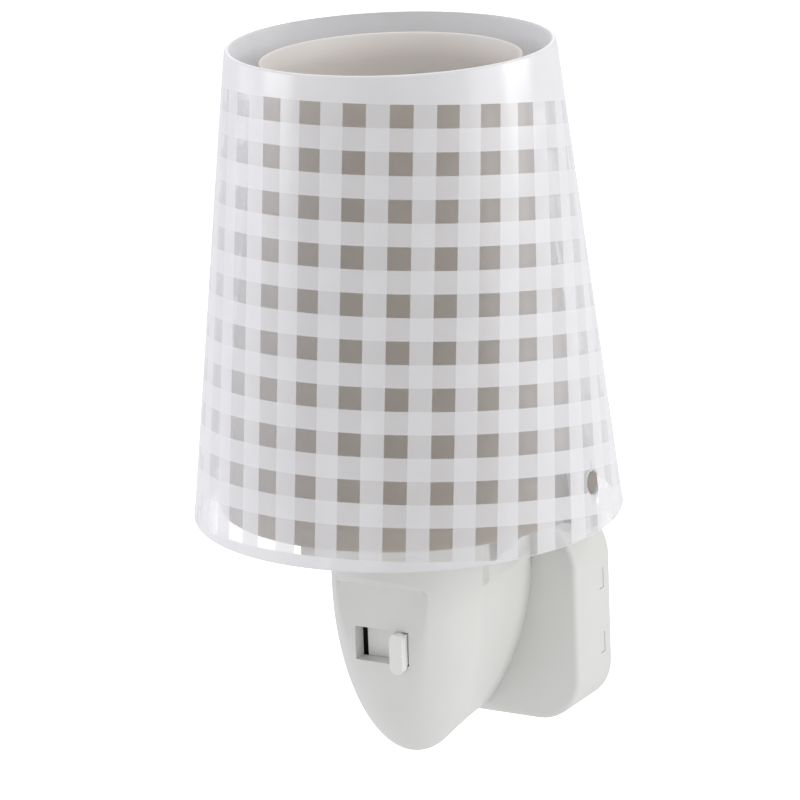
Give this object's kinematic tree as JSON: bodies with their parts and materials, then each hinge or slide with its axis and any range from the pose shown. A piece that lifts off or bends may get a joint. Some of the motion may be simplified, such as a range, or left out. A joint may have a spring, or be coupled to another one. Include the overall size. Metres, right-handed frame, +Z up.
{
  "type": "plug in night light",
  "caption": "Small night light that plugs straight into a wall socket, with a slide switch, a screw-in bulb and a double conical shade in gingham.",
  "frame": {"origin": "centre between the two plug pins on the flat rear face that meets the socket", "axes": "+Y into the wall along the pins, +Z up along the shade's axis, the lamp faces -Y"},
  "size_m": [0.086, 0.1069, 0.1482],
  "materials": {
    "printed_shade": "clear frosted sheet printed with a white gingham",
    "liner_plastic": "frosted taupe sheet",
    "white_plastic": "satin moulded white",
    "nickel_plate": "bright nickel plate",
    "sleeve_plastic": "satin",
    "zinc_steel": "zinc plated",
    "holder_plastic": "satin",
    "brass": "pressed",
    "solder": "soldered",
    "insulator_plastic": "glossy black",
    "frosted_globe": "frosted",
    "board": "white solder mask",
    "led_phosphor": "phosphor",
    "knob_plastic": "moulded",
    "switch_plastic": "moulded",
    "wire_cover": "PVC cover"
  },
  "bodies": {
    "root": {"body_screws": "zinc_steel", "holder_body": "holder_plastic", "holder_centre_contact": "brass", "holder_screw_shell": "brass", "holder_screws": "zinc_steel", "housing_front": "white_plastic", "housing_rear": "white_plastic", "lamp_body": "white_plastic", "pin_left": "nickel_plate", "pin_right": "nickel_plate", "pin_sleeve_left": "sleeve_plastic", "pin_sleeve_right": "sleeve_plastic", "switch_case": "switch_plastic", "switch_screws": "zinc_steel", "switch_terminal_left": "brass", "switch_terminal_right": "brass", "wire_pin_to_holder": "wire_cover", "wire_pin_to_switch": "wire_cover", "wire_switch_to_holder": "wire_cover"},
    "switch_slider": {"switch_knob": "knob_plastic", "switch_bridge": "brass"},
    "shade": {"outer_shade": "printed_shade", "shade_liner": "liner_plastic", "shade_carrier": "white_plastic"},
    "bulb_seat": {"bulb_insulator": "insulator_plastic", "bulb_tip_contact": "solder"},
    "bulb": {"bulb_screw_shell": "nickel_plate", "bulb_neck": "white_plastic", "bulb_globe": "frosted_globe", "bulb_circuit_board": "board", "bulb_leds": "led_phosphor"}
  },
  "joints": [
    {"name": "switch_slide", "type": "slide", "parent": "root", "child": "switch_slider", "axis": [1, 0, 0], "range_m": [-0.0036, 0]},
    {"name": "shade_lift", "type": "slide", "parent": "root", "child": "shade", "axis": [0, 0, 1], "range_m": [0, 0.1]},
    {"name": "bulb_rise", "type": "slide", "parent": "root", "child": "bulb_seat", "axis": [0, 0, 1], "range_m": [0, 0.01415]},
    {"name": "bulb_spin", "type": "hinge", "parent": "bulb_seat", "child": "bulb", "pos_m": [0, -0.045, 0.05], "axis": [0, 0, 1], "range_deg": [0, 1800]}
  ],
  "couplings": [
    {"joint": "bulb_rise", "follows": "bulb_spin", "m_per_rad": 0.00044913}
  ]
}
